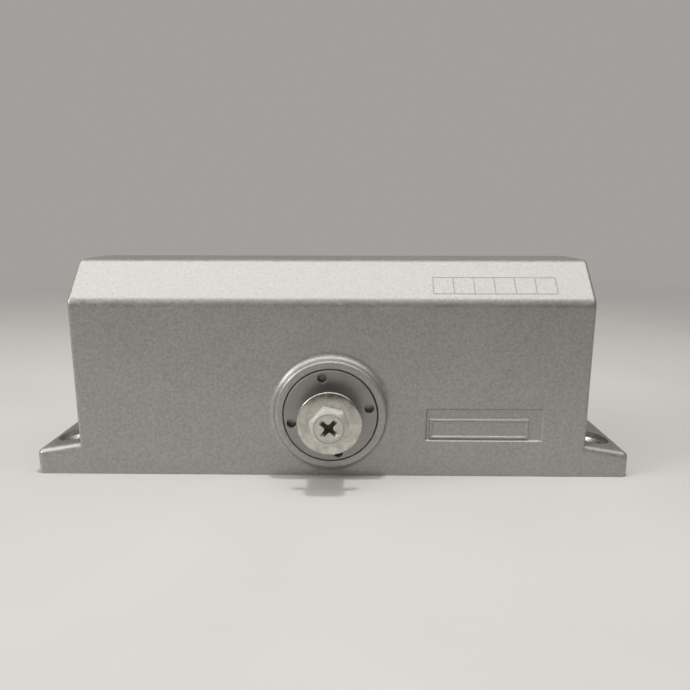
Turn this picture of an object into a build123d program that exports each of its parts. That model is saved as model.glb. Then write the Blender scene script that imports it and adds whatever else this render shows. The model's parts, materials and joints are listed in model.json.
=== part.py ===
from build123d import *
import os
from math import acos, ceil, cos, degrees, floor, pi, radians, sin, sqrt, tan

# Hydraulic door closer: a spring-driven rack piston turns a spindle inside a cast body.
# X runs along the body, -Y is the spindle side and +Z points away from the door.
# The origin is the centre of the mounting holes, on the face that lies on the door.
# All sizes are in millimetres.

# Cast body
body_length = 155.0
body_depth = 42.0
body_height = 65.4
shoulder_height = 53.8
chamfer_depth = 11.0
shoulder_radius = 4.2
crest_radius = 2.8
end_edge_radius = 1.2

# Mounting ears
ear_length = 13.5
ear_tip_thickness = 7.5
ear_root_thickness = 9.8
ear_overlap = 3.6
ear_corner_radius = 2.0
ear_edge_radius = 2.0
ear_toe_radius = 2.4

# Mounting holes
hole_to_tip = 8.5
hole_row_gap = 19.0
hole_diameter = 6.5
countersink_diameter = 8.8
spot_face_diameter = 12.4
spot_face_height = 7.1

# Bare label recess with a plain raised frame
label_length = 35.6
label_height = 10.4
label_depth = 0.6
label_draft = radians(40.0)
label_to_end = 13.2
label_to_base = 11.2
frame_length = 30.3
frame_height = 6.5
frame_line = 1.1
frame_rise = 0.4
frame_side_gap = 0.6
frame_base_gap = 0.1

# Spindle boss and the screwed cap in it
boss_to_base = 3.5
boss_diameter = 33.4
boss_height = 3.1
boss_edge_radius = 1.0
boss_root_radius = 2.2
boss_foot_gap = 0.5
cap_diameter = 28.1
cap_lip = 1.0
spanner_hole_count = 4
spanner_hole_diameter = 2.8
spanner_hole_depth = 2.2
spanner_circle_diameter = 23.6
spanner_hole_angle = 11.5

# Spindle, pinion and the screw that clamps the arm
pinion_teeth = 9
tooth_module = 2.0
profile_shift = 0.5
pressure_angle = radians(20.0)
tip_shortening = 0.5
root_clearance = 0.5
flank_clearance = 0.05
flank_point_count = 6
front_journal_diameter = 14.0
rear_journal_diameter = 12.0
neck_diameter = 12.6
neck_gap = 0.25
collar_diameter = 20.0
collar_thickness = 2.0
gear_side_gap = 1.2
square_size = 10.4
square_taper = 4.0
square_reach = 6.3
spindle_turn_degrees = 170.0
screw_diameter = 6.0
screw_length = 14.0
screw_head_flats = 10.0
screw_head_height = 3.8
screw_head_angle = 47.0
screw_face_diameter = 8.6
screw_head_chamfer = 30.0
tap_run_out = 3.0
recess_span = 6.2
recess_slot = 1.4
recess_corner_radius = 0.7
recess_depth = 3.0
recess_tip_diameter = 2.2
recess_angle = 40.0
washer_diameter = 18.8
washer_thickness = 1.6
washer_crown = 0.5
washer_hole_diameter = 6.6
washer_edge_radius = 0.3

# Needle bearings, thrust washers and spindle seal
roller_diameter = 2.0
roller_count = 12
cup_wall = 1.0
front_bearing_width = 5.0
rear_bearing_width = 6.0
cup_lip = 0.6
cage_rim = 0.4
cage_thickness = 1.0
thrust_washer_thickness = 0.8
front_thrust_diameter = 22.0
rear_thrust_diameter = 16.2
seal_step = 0.7
seal_width = 2.4
seal_wall = 0.6
seal_lip = 0.4

# Cylinder, end plugs and spring
side_wall = 4.5
rack_line_offset = 12.0
chamber_clearance = 1.5
rear_wall = 3.4
plug_thread_wall = 1.5
plug_thread_length = 9.0
plug_nose_length = 5.2
plug_setback = 0.8
plug_hexagon = 12.0
plug_hexagon_depth = 5.0
spring_pocket_depth = 4.0
spring_wire = 4.2
spring_turns = 5.5
spring_clearance = 0.5
closed_turns = 0.75
closed_gap = 0.6

# Piston with its seal and one-way ball
stop_gap = 3.0
rack_run_out = 12.5
skirt_length = 14.0
skirt_wall = 2.45
skirt_floor = 3.0
seal_groove_depth = 1.4
piston_seal_width = 2.8
piston_seal_setback = 4.0
ball_diameter = 4.0
ball_lift = 0.8
ball_offset = 11.5
ball_passage_diameter = 2.4
ball_seat_setback = 13.3
ball_clearance = 0.04
ball_chamber_gap = 0.5
retainer_thickness = 1.5
retainer_hole_diameter = 2.4

# Speed valves and oil galleries
valve_spread = 18.0
valve_height = 15.5
valve_diameter = 7.0
valve_setback = 1.6
valve_thread_length = 9.0
valve_stem_diameter = 4.6
valve_stem_length = 12.0
valve_tip_diameter = 1.4
valve_tip_length = 4.0
valve_slot_width = 1.0
valve_slot_depth = 1.4
valve_seat_gap = 0.2
gallery_diameter = 3.2
port_diameter = 2.0
sweep_port_cover = 5.0

# Clearances shared by mating pieces
running_clearance = 0.05
seat_clearance = 0.02
thread_clearance = 0.05
end_float = 0.1
o_ring_cord = 1.5
o_ring_groove_width = 2.2
groove_land = 1.0
turned_chamfer = 0.4

# Places worked out from the sizes above
overall_length = body_length + 2 * ear_length
hole_spacing = overall_length - 2 * hole_to_tip
body_end = body_length / 2
front_y = -body_depth / 2
rear_y = body_depth / 2
spindle_height = boss_to_base + boss_diameter / 2
cap_front_y = front_y - boss_height
spindle_end_y = cap_front_y - square_reach
washer_front_y = spindle_end_y - washer_thickness
screw_tip_y = washer_front_y + screw_length

pitch_radius = tooth_module * pinion_teeth / 2
base_radius = pitch_radius * cos(pressure_angle)
tip_radius = pitch_radius + tooth_module * (1 + profile_shift) - tip_shortening
root_radius = pitch_radius - tooth_module * (1 - profile_shift) - root_clearance
rack_line_z = spindle_height + pitch_radius + profile_shift * tooth_module
rack_tip_z = rack_line_z - tooth_module
rack_root_z = rack_line_z + tooth_module + root_clearance
tooth_pitch = pi * tooth_module
stroke = pitch_radius * radians(spindle_turn_degrees)
chamber_radius = tip_radius + chamber_clearance

bore_z = rack_line_z + rack_line_offset
bore_radius = body_depth / 2 - side_wall
piston_radius = bore_radius - running_clearance
plug_thread_radius = bore_radius + plug_thread_wall
plug_length = plug_thread_length + plug_nose_length
plug_nose_x = body_end - plug_setback - plug_length
piston_head_x = plug_nose_x - stop_gap
rack_start_x = -rack_run_out
rack_end_x = stroke + rack_run_out
skirt_end_x = rack_start_x - skirt_length
spring_pocket_radius = piston_radius - skirt_wall
spring_start_x = -plug_nose_x - spring_pocket_depth
spring_end_x = rack_start_x - skirt_floor
ball_z = bore_z - ball_offset

front_cup_radius = front_journal_diameter / 2 + roller_diameter + cup_wall + 2 * running_clearance
rear_cup_radius = rear_journal_diameter / 2 + roller_diameter + cup_wall + 2 * running_clearance
seal_radius = front_cup_radius - seal_step
seal_front_y = cap_front_y + cap_lip
cap_step_y = seal_front_y + seal_width
cap_inner_y = cap_step_y + front_bearing_width + 2 * end_float
journal_front_y = seal_front_y + 2 * end_float
rear_seat_depth = rear_bearing_width + 2 * end_float
chamber_floor_y = rear_y - rear_wall - rear_seat_depth
front_shoulder_y = cap_inner_y + thrust_washer_thickness + end_float
rear_shoulder_y = chamber_floor_y - thrust_washer_thickness - end_float
gear_half_width = rear_shoulder_y - gear_side_gap

valve_radius = valve_diameter / 2
valve_head_x = body_end - valve_setback
valve_groove_x = valve_head_x - valve_thread_length - groove_land
valve_stem_x = valve_groove_x - o_ring_groove_width - groove_land
valve_tip_x = valve_stem_x - valve_stem_length
valve_taper = (valve_stem_diameter - valve_tip_diameter) / 2 / valve_tip_length
valve_seat_x = valve_tip_x - (valve_stem_diameter - gallery_diameter) / 2 / valve_taper - valve_seat_gap
latch_port_x = (piston_head_x + plug_nose_x) / 2
sweep_port_x = piston_head_x - sweep_port_cover

bottom_up = (Align.CENTER, Align.CENTER, Align.MIN)
tiny = 1e-6


# Plain shapes along the two working axes
def rod_x(radius, start, end, y=0.0, z=0.0):
    return Pos(start, y, z) * Rot(0, 90, 0) * Cylinder(radius, end - start, align=bottom_up)


def rod_y(radius, start, end, x=0.0, z=spindle_height):
    return Pos(x, start, z) * Rot(-90, 0, 0) * Cylinder(radius, end - start, align=bottom_up)


def turned_x(points, y=0.0, z=bore_z):
    profile = make_face(Polyline(*points, close=True))
    return Pos(0, y, z) * revolve(profile, axis=Axis.X)


def turned_y(points):
    profile = make_face(Polyline(*points, close=True))
    return Pos(0, 0, spindle_height) * revolve(profile, axis=Axis.Y)


def block(x_range, y_range, z_range):
    low = Vector(x_range[0], y_range[0], z_range[0])
    size = Vector(x_range[1], y_range[1], z_range[1]) - low
    return Pos(*low) * Box(size.X, size.Y, size.Z, align=(Align.MIN, Align.MIN, Align.MIN))


# An O-ring's groove floor, and the ring itself, in a hole of the given radius
def groove_floor(hole_radius):
    return hole_radius - o_ring_cord - 2 * seat_clearance


def ring_circle(hole_radius):
    return hole_radius - seat_clearance - o_ring_cord / 2


def o_ring_x(hole_radius, x, y, z):
    return Pos(x, y, z) * Rot(0, 90, 0) * Torus(ring_circle(hole_radius), o_ring_cord / 2)


def o_ring_y(hole_radius, y):
    return Pos(0, y, spindle_height) * Rot(90, 0, 0) * Torus(ring_circle(hole_radius), o_ring_cord / 2)


cap_hole_radius = cap_diameter / 2 + thread_clearance
valve_bore_radius = valve_radius + running_clearance
cap_groove_y = cap_inner_y - groove_land
plug_groove_x = plug_nose_x + (plug_nose_length - o_ring_groove_width) / 2


def body_block():
    outline = Polyline(
        (front_y, 0),
        (front_y, shoulder_height),
        (front_y + chamfer_depth, body_height),
        (rear_y - chamfer_depth, body_height),
        (rear_y, shoulder_height),
        (rear_y, 0),
        close=True,
    )
    shape = extrude(Plane.YZ * make_face(outline), amount=body_end, both=True)
    for height, radius in ((shoulder_height, shoulder_radius), (body_height, crest_radius)):
        level = [edge for edge in shape.edges().filter_by(Axis.X) if abs(edge.center().Z - height) < tiny]
        shape = fillet(level, radius)
    end_edges = [
        edge
        for edge in shape.edges()
        if abs(abs(edge.center().X) - body_end) < tiny and edge.center().Z > tiny
    ]
    return fillet(end_edges, end_edge_radius)


# The side view with its rounded toe, trimmed to a plan with rounded corners
def ear(side):
    root_x = body_end - ear_overlap
    tip_x = body_end + ear_length
    outline = Polyline(
        (side * root_x, 0),
        (side * tip_x, 0),
        (side * tip_x, ear_tip_thickness),
        (side * body_end, ear_root_thickness),
        (side * root_x, ear_root_thickness),
        close=True,
    )
    view = make_face(outline)
    toe = [corner for corner in view.vertices() if abs(corner.X) > body_end + tiny and corner.Y < tiny]
    view = fillet(toe, ear_toe_radius)
    plan = Pos(side * (root_x + tip_x) / 2, 0) * Rectangle(tip_x - root_x, body_depth)
    corners = [corner for corner in plan.vertices() if abs(corner.X) > body_end]
    plan = fillet(corners, ear_corner_radius)
    shape = extrude(Plane.XZ * view, amount=body_depth / 2, both=True)
    shape &= extrude(plan, amount=ear_root_thickness)
    rim = [
        edge
        for edge in shape.edges()
        if abs(edge.center().X) > body_end + tiny and edge.center().Z > ear_tip_thickness - tiny
    ]
    return fillet(rim, ear_edge_radius)


def mounting_hole(x, y, solid_body):
    cone_depth = (countersink_diameter - hole_diameter) / 2
    profile = Polyline(
        (0, 0),
        (hole_diameter / 2, 0),
        (hole_diameter / 2, spot_face_height - cone_depth),
        (countersink_diameter / 2, spot_face_height),
        (spot_face_diameter / 2, spot_face_height),
        (spot_face_diameter / 2, ear_root_thickness),
        (0, ear_root_thickness),
        close=True,
    )
    cutter = revolve(Plane.XZ * make_face(profile), axis=Axis.Z)
    return Pos(x, y, 0) * cutter - solid_body


def spindle_boss():
    shape = rod_y(boss_diameter / 2, cap_front_y, front_y + boss_height)
    return fillet(shape.edges().sort_by(Axis.Y)[0], boss_edge_radius)


# The walls of the recess and of the frame in it lean by the casting's draft
def label_recess():
    right = body_end - label_to_end
    left = right - label_length
    wall_run = label_depth * tan(label_draft)
    draft = degrees(label_draft)

    def face(x, y, z, way, length, height):
        middle = (x + length / 2, y, z + height / 2)
        return Plane(origin=middle, x_dir=(1, 0, 0), z_dir=(0, way, 0)) * Rectangle(length, height)

    mouth = face(left, front_y, label_to_base, 1, label_length, label_height)
    recess = extrude(mouth, amount=label_depth, taper=draft)
    frame_x = left + wall_run + frame_side_gap
    frame_z = label_to_base + wall_run + frame_base_gap
    floor_y = front_y + label_depth
    outside = face(frame_x, floor_y, frame_z, -1, frame_length, frame_height)
    inner_length = frame_length - 2 * frame_line
    inner_height = frame_height - 2 * frame_line
    inside = face(frame_x + frame_line, floor_y, frame_z + frame_line, -1, inner_length, inner_height)
    frame = extrude(outside, amount=frame_rise, taper=draft)
    frame -= extrude(inside, amount=frame_rise, taper=-draft)
    return recess - frame


def valve_gallery(y, port_x):
    shape = rod_x(valve_bore_radius, valve_seat_x, body_end, y, valve_height)
    shape += rod_x(gallery_diameter / 2, 0, valve_seat_x, y, valve_height)
    port = Cylinder(port_diameter / 2, bore_z - valve_height, align=bottom_up)
    return shape + Pos(port_x, y, valve_height) * port


def body_casting():
    solid_body = body_block()
    shape = solid_body + ear(-1) + ear(1) + spindle_boss()
    boss_root = [
        edge
        for edge in shape.edges().filter_by(GeomType.CIRCLE)
        if abs(edge.arc_center.Y - front_y) < tiny and abs(edge.radius - boss_diameter / 2) < tiny
    ]
    shape = fillet(boss_root, min(boss_root_radius, boss_to_base - boss_foot_gap))
    for x in (-hole_spacing / 2, hole_spacing / 2):
        for y in (-hole_row_gap / 2, hole_row_gap / 2):
            shape -= mounting_hole(x, y, solid_body)
    shape -= label_recess()
    shape -= rod_x(bore_radius, -body_end, body_end, 0, bore_z)
    for side in (-1, 1):
        thread_start = side * (body_end - plug_setback - plug_thread_length)
        ends = sorted((thread_start, side * body_end))
        shape -= rod_x(plug_thread_radius + thread_clearance, ends[0], ends[1], 0, bore_z)
    shape -= rod_y(chamber_radius, cap_inner_y, chamber_floor_y)
    shape -= turned_y(
        [
            (0, cap_inner_y),
            (cap_hole_radius, cap_inner_y),
            (cap_hole_radius, cap_front_y + turned_chamfer),
            (cap_hole_radius + turned_chamfer, cap_front_y),
            (0, cap_front_y),
        ]
    )
    shape -= rod_y(rear_cup_radius + seat_clearance, chamber_floor_y, rear_y - rear_wall)
    shape -= valve_gallery(-valve_spread / 2, sweep_port_x)
    shape -= valve_gallery(valve_spread / 2, latch_port_x)
    return shape


# Radius of the circle that a bearing's roller axes lie on
def roller_circle(journal_diameter):
    return journal_diameter / 2 + running_clearance + roller_diameter / 2


def spindle_cap():
    outer = cap_diameter / 2
    groove = groove_floor(cap_hole_radius)
    groove_end = cap_groove_y - o_ring_groove_width
    seat = front_cup_radius + seat_clearance
    seal_seat = seal_radius + seat_clearance
    mouth = neck_diameter / 2 + neck_gap
    shape = turned_y(
        [
            (seat, cap_inner_y),
            (outer, cap_inner_y),
            (outer, cap_groove_y),
            (groove, cap_groove_y),
            (groove, groove_end),
            (outer, groove_end),
            (outer, cap_front_y + turned_chamfer),
            (outer - turned_chamfer, cap_front_y),
            (mouth, cap_front_y),
            (mouth, seal_front_y),
            (seal_seat, seal_front_y),
            (seal_seat, cap_step_y),
            (seat, cap_step_y),
        ]
    )
    for index in range(spanner_hole_count):
        angle = radians(spanner_hole_angle) + 2 * pi * index / spanner_hole_count
        x = spanner_circle_diameter / 2 * cos(angle)
        z = spindle_height + spanner_circle_diameter / 2 * sin(angle)
        shape -= rod_y(spanner_hole_diameter / 2, cap_front_y, cap_front_y + spanner_hole_depth, x, z)
    return shape


def spindle_seal():
    lip = front_journal_diameter / 2 + running_clearance
    middle = seal_front_y + seal_width / 2
    return turned_y(
        [
            (seal_radius, cap_step_y),
            (seal_radius, seal_front_y),
            (lip + seal_lip, seal_front_y),
            (lip, middle),
            (lip + seal_lip, cap_step_y),
            (lip + seal_lip + seal_wall, cap_step_y),
            (lip + seal_lip + seal_wall, middle),
            (seal_radius - seal_wall, middle),
            (seal_radius - seal_wall, cap_step_y),
        ]
    )


def bearing_cup(journal_diameter, outer_radius, width, start_y):
    inner = outer_radius - cup_wall
    lip = roller_circle(journal_diameter)
    end_y = start_y + width
    return turned_y(
        [
            (outer_radius, start_y),
            (outer_radius, end_y),
            (lip, end_y),
            (lip, end_y - cup_lip),
            (inner, end_y - cup_lip),
            (inner, start_y + cup_lip),
            (lip, start_y + cup_lip),
            (lip, start_y),
        ]
    )


def roller_span(width, start_y):
    return start_y + cup_lip + end_float, start_y + width - cup_lip - end_float


def roller_places(journal_diameter):
    circle = roller_circle(journal_diameter)
    angles = [2 * pi * index / roller_count for index in range(roller_count)]
    return [(circle * cos(angle), spindle_height + circle * sin(angle)) for angle in angles]


def bearing_rollers(journal_diameter, width, start_y):
    low, high = roller_span(width, start_y)
    margin = cage_rim + end_float
    places = roller_places(journal_diameter)
    rollers = [rod_y(roller_diameter / 2, low + margin, high - margin, x, z) for x, z in places]
    return Compound(children=rollers)


def bearing_cage(journal_diameter, width, start_y):
    low, high = roller_span(width, start_y)
    circle = roller_circle(journal_diameter)
    outer = circle + cage_thickness / 2
    shape = rod_y(outer, low, high) - rod_y(outer - cage_thickness, low, high)
    for x, z in roller_places(journal_diameter):
        shape -= rod_y(roller_diameter / 2 + running_clearance, low + cage_rim, high - cage_rim, x, z)
    return shape


def thrust_washer(hole_radius, outer_diameter, start_y):
    end_y = start_y + thrust_washer_thickness
    shape = rod_y(outer_diameter / 2, start_y, end_y)
    return shape - rod_y(hole_radius + running_clearance, start_y, end_y)


# The involute turns by this angle on its way out to the given radius
def involute(radius):
    angle = acos(base_radius / radius)
    return tan(angle) - angle


def pinion_profile():
    tooth = tooth_module * (pi / 2 + 2 * profile_shift * tan(pressure_angle)) - 2 * flank_clearance
    half_angle = tooth / 2 / pitch_radius + tan(pressure_angle) - pressure_angle
    step = 2 * pi / pinion_teeth
    flank = tip_radius - base_radius

    def at(radius, angle):
        return radius * sin(angle), radius * cos(angle)

    lines = []
    for index in range(pinion_teeth):
        middle = (index + 0.5) * step
        radii = [base_radius + flank * n / flank_point_count for n in range(flank_point_count + 1)]
        rising = [at(radius, middle - half_angle + involute(radius)) for radius in radii]
        falling = [at(radius, middle + half_angle - involute(radius)) for radius in reversed(radii)]
        root_in = at(root_radius, middle - half_angle)
        root_out = at(root_radius, middle + half_angle)
        next_root = at(root_radius, middle + step - half_angle)
        lines += [
            Line(root_in, rising[0]),
            Spline(*rising),
            ThreePointArc(rising[-1], at(tip_radius, middle), falling[0]),
            Spline(*falling),
            Line(falling[-1], root_out),
            ThreePointArc(root_out, at(root_radius, middle + step / 2), next_root),
        ]
    return make_face(lines)


def spindle_pinion():
    gear = extrude(Plane.XZ * pinion_profile(), amount=gear_half_width, both=True)
    shape = Pos(0, 0, spindle_height) * gear
    neck = neck_diameter / 2
    front = front_journal_diameter / 2
    rear = rear_journal_diameter / 2
    shape += turned_y(
        [
            (0, cap_front_y),
            (neck, cap_front_y),
            (neck, journal_front_y),
            (front, journal_front_y),
            (front, front_shoulder_y),
            (collar_diameter / 2, front_shoulder_y),
            (collar_diameter / 2, front_shoulder_y + collar_thickness),
            (root_radius, front_shoulder_y + collar_thickness),
            (root_radius, rear_shoulder_y),
            (rear, rear_shoulder_y),
            (rear, rear_y - rear_wall - end_float),
            (0, rear_y - rear_wall - end_float),
        ]
    )
    square_plane = Plane(origin=(0, cap_front_y, spindle_height), z_dir=(0, -1, 0))
    section = square_plane * Rectangle(square_size, square_size)
    end = extrude(section, amount=square_reach, taper=square_taper)
    shape += end & rod_y(neck, spindle_end_y, cap_front_y)
    tapped_radius = screw_diameter / 2 + thread_clearance
    return shape - rod_y(tapped_radius, spindle_end_y, screw_tip_y + tap_run_out)


def arm_washer():
    hole = washer_hole_diameter / 2
    seat = screw_head_flats / 2
    rim = washer_diameter / 2
    rim_y = washer_front_y + washer_crown
    profile = make_face(
        [
            Line((hole, spindle_end_y), (hole, washer_front_y)),
            Line((hole, washer_front_y), (seat, washer_front_y)),
            TangentArc((seat, washer_front_y), (rim, rim_y), tangent=(1, 0)),
            Line((rim, rim_y), (rim, spindle_end_y)),
            Line((rim, spindle_end_y), (hole, spindle_end_y)),
        ]
    )
    shape = Pos(0, 0, spindle_height) * revolve(profile, axis=Axis.Y)
    circles = shape.edges().filter_by(GeomType.CIRCLE)
    rim_edges = circles.filter_by(lambda edge: abs(edge.radius - rim) < tiny)
    return fillet(rim_edges.sort_by(Axis.Y)[0], washer_edge_radius)


def arm_screw():
    head_y = washer_front_y - screw_head_height
    head_plane = Plane(origin=(0, washer_front_y, spindle_height), x_dir=(1, 0, 0), z_dir=(0, -1, 0))
    outline = RegularPolygon(screw_head_flats / 2, 6, major_radius=False, rotation=screw_head_angle)
    head = extrude(head_plane * outline, amount=screw_head_height)
    face = screw_face_diameter / 2
    beyond = screw_head_flats
    crown = turned_y(
        [
            (0, head_y),
            (face, head_y),
            (beyond, head_y + (beyond - face) * tan(radians(screw_head_chamfer))),
            (beyond, spindle_end_y),
            (0, spindle_end_y),
        ]
    )
    shape = head & crown
    top_plane = Plane(origin=(0, head_y, spindle_height), x_dir=(1, 0, 0), z_dir=(0, 1, 0))
    cross = Rectangle(recess_span, recess_slot) + Rectangle(recess_slot, recess_span)
    inner_corners = [corner for corner in cross.vertices() if Vector(*corner).length < recess_slot]
    cross = fillet(inner_corners, recess_corner_radius)
    recess = extrude(top_plane * (Rot(0, 0, recess_angle) * cross), amount=recess_depth)
    recess_floor_y = head_y + recess_depth
    shape -= recess & turned_y(
        [
            (0, head_y),
            (recess_span / 2, head_y),
            (recess_tip_diameter / 2, recess_floor_y),
            (0, recess_floor_y),
        ]
    )
    return shape + rod_y(screw_diameter / 2, washer_front_y, screw_tip_y)


def rack_teeth():
    half_line = tooth_pitch / 4 - flank_clearance
    half_tip = half_line - tooth_module * tan(pressure_angle)
    half_root = half_line + (rack_root_z - rack_line_z) * tan(pressure_angle)
    first = ceil((rack_start_x + half_root) / tooth_pitch)
    last = floor((rack_end_x - half_root) / tooth_pitch)
    teeth = []
    for index in range(first, last + 1):
        middle = index * tooth_pitch
        outline = Polyline(
            (middle - half_root, rack_root_z),
            (middle - half_tip, rack_tip_z),
            (middle + half_tip, rack_tip_z),
            (middle + half_root, rack_root_z),
            close=True,
        )
        teeth.append(extrude(Plane.XZ * make_face(outline), amount=piston_radius, both=True))
    return teeth


# The ball rests on a 45 degree cone, and the retainer stops it at the end of its lift
ball_radius = ball_diameter / 2
passage_radius = ball_passage_diameter / 2
chamber_bore = ball_radius + ball_chamber_gap
ball_seat_x = piston_head_x - ball_seat_setback
ball_x = ball_seat_x + ball_radius * sqrt(2) - passage_radius + ball_clearance
retainer_hold = sqrt(ball_radius**2 - (retainer_hole_diameter / 2) ** 2)
retainer_x = ball_x + retainer_hold + ball_lift + end_float


def piston():
    cylinder = rod_x(piston_radius, skirt_end_x, piston_head_x, 0, bore_z)
    below = bore_z - 2 * piston_radius
    shape = cylinder - block(
        (rack_start_x, rack_end_x),
        (-piston_radius, piston_radius),
        (below, rack_root_z),
    )
    for tooth in rack_teeth():
        shape += tooth & cylinder
    shape -= rod_x(spring_pocket_radius, skirt_end_x, spring_end_x, 0, bore_z)
    groove_end = piston_head_x - piston_seal_setback
    groove_start = groove_end - piston_seal_width - 2 * seat_clearance
    ring = rod_x(piston_radius, groove_start, groove_end, 0, bore_z)
    shape -= ring - rod_x(piston_radius - seal_groove_depth, groove_start, groove_end, 0, bore_z)
    return shape - turned_x(
        [
            (rack_end_x, 0),
            (rack_end_x, passage_radius),
            (ball_seat_x, passage_radius),
            (ball_seat_x + chamber_bore - passage_radius, chamber_bore),
            (piston_head_x, chamber_bore),
            (piston_head_x, 0),
        ],
        z=ball_z,
    )


def piston_seal():
    end = piston_head_x - piston_seal_setback - seat_clearance
    start = end - piston_seal_width
    ring = rod_x(piston_radius + running_clearance / 2, start, end, 0, bore_z)
    return ring - rod_x(piston_radius - seal_groove_depth + seat_clearance, start, end, 0, bore_z)


def check_ball_retainer():
    end = retainer_x + retainer_thickness
    ring = rod_x(chamber_bore - seat_clearance, retainer_x, end, 0, ball_z)
    return ring - rod_x(retainer_hole_diameter / 2, retainer_x, end, 0, ball_z)


def end_plug(side, pocket):
    outer_x = body_end - plug_setback
    shoulder_x = outer_x - plug_thread_length
    nose = bore_radius - running_clearance
    groove = groove_floor(bore_radius)
    shape = turned_x(
        [
            (plug_nose_x, 0),
            (plug_nose_x, nose),
            (plug_groove_x, nose),
            (plug_groove_x, groove),
            (plug_groove_x + o_ring_groove_width, groove),
            (plug_groove_x + o_ring_groove_width, nose),
            (shoulder_x, nose),
            (shoulder_x, plug_thread_radius),
            (outer_x - turned_chamfer, plug_thread_radius),
            (outer_x, plug_thread_radius - turned_chamfer),
            (outer_x, 0),
        ],
        z=0,
    )
    hexagon = RegularPolygon(plug_hexagon / 2, 6, major_radius=False)
    key_plane = Plane(origin=(outer_x, 0, 0), z_dir=(-1, 0, 0))
    shape -= extrude(key_plane * hexagon, amount=plug_hexagon_depth)
    if pocket:
        shape -= rod_x(spring_pocket_radius, plug_nose_x, plug_nose_x + spring_pocket_depth)
    turn = 0 if side > 0 else 180
    return Pos(0, 0, bore_z) * Rot(0, 0, turn) * shape


def valve_screw(y):
    stem = valve_stem_diameter / 2
    groove = groove_floor(valve_bore_radius)
    groove_end = valve_groove_x - o_ring_groove_width
    shape = turned_x(
        [
            (valve_tip_x - valve_tip_length, 0),
            (valve_tip_x - valve_tip_length, valve_tip_diameter / 2),
            (valve_tip_x, stem),
            (valve_stem_x, stem),
            (valve_stem_x, valve_radius),
            (groove_end, valve_radius),
            (groove_end, groove),
            (valve_groove_x, groove),
            (valve_groove_x, valve_radius),
            (valve_head_x - turned_chamfer, valve_radius),
            (valve_head_x, valve_radius - turned_chamfer),
            (valve_head_x, 0),
        ],
        y,
        valve_height,
    )
    slot_y = (y - valve_slot_width / 2, y + valve_slot_width / 2)
    slot_z = (valve_height - valve_radius, valve_height + valve_radius)
    return shape - block((valve_head_x - valve_slot_depth, valve_head_x), slot_y, slot_z)


# Two arcs that leave the first point and reach the second along the given directions
def biarc(start, start_way, end, end_way):
    chord = end - start
    ways = start_way + end_way
    a = ways.dot(ways) - 4
    b = -2 * chord.dot(ways)
    reach = (-b - sqrt(b * b - 4 * a * chord.dot(chord))) / (2 * a)
    first = start + start_way * reach
    second = end - end_way * reach
    middle = (first + second) * 0.5
    return [
        TangentArc(start, middle, tangent=start_way),
        TangentArc(middle, end, tangent=second - first),
    ]


def spring_path():
    circle = spring_pocket_radius - spring_clearance - spring_wire / 2
    ground = spring_wire / 4
    low = spring_start_x + ground
    high = spring_end_x - ground
    closed_pitch = spring_wire + closed_gap
    open_turns = spring_turns - 2 * closed_turns
    open_pitch = (high - low - 2 * closed_turns * closed_pitch) / open_turns
    quarters = round(4 * spring_turns)

    def place(turns):
        closed_start = min(turns, closed_turns)
        closed_end = max(turns - spring_turns + closed_turns, 0)
        closed = closed_start + closed_end
        x = low + closed_pitch * closed + open_pitch * (turns - closed)
        return Vector(x, circle * cos(2 * pi * turns), bore_z + circle * sin(2 * pi * turns))

    def way(turns):
        before = max(turns - 0.125, 0)
        after = min(turns + 0.125, spring_turns)
        rise = (place(after).X - place(before).X) / (after - before)
        around = 2 * pi * circle
        return Vector(rise, -around * sin(2 * pi * turns), around * cos(2 * pi * turns)).normalized()

    arcs = []
    for index in range(quarters):
        start = spring_turns * index / quarters
        end = spring_turns * (index + 1) / quarters
        arcs += biarc(place(start), way(start), place(end), way(end))
    return arcs


# Least gap between turns, measured on points along the wire's centre line
def coil_gap(arcs):
    sample_count = 6
    points = [arc @ (n / sample_count) for arc in arcs for n in range(sample_count)]
    turn = sample_count * len(arcs) / spring_turns
    apart = [
        (points[i] - points[j]).length
        for i in range(len(points))
        for j in range(i)
        if i - j > turn / 2
    ]
    return min(apart) - spring_wire


def main_spring():
    arcs = spring_path()
    print(f"main_spring least gap between turns {coil_gap(arcs):.2f} mm")
    start = Plane(origin=arcs[0] @ 0, z_dir=arcs[0] % 0)
    coil = sweep(start * Circle(spring_wire / 2), path=Wire(arcs))
    reach = 2 * bore_radius
    return coil & block(
        (spring_start_x + seat_clearance, spring_end_x - seat_clearance),
        (-reach, reach),
        (bore_z - reach, bore_z + reach),
    )


front_bearing_y = cap_inner_y - end_float - front_bearing_width
rear_bearing_y = chamber_floor_y + end_float
front_bearing = (front_journal_diameter, front_bearing_width, front_bearing_y)
rear_bearing = (rear_journal_diameter, rear_bearing_width, rear_bearing_y)
plug_ring_x = plug_groove_x + o_ring_groove_width / 2
valve_ring_x = valve_groove_x - o_ring_groove_width / 2

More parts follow.
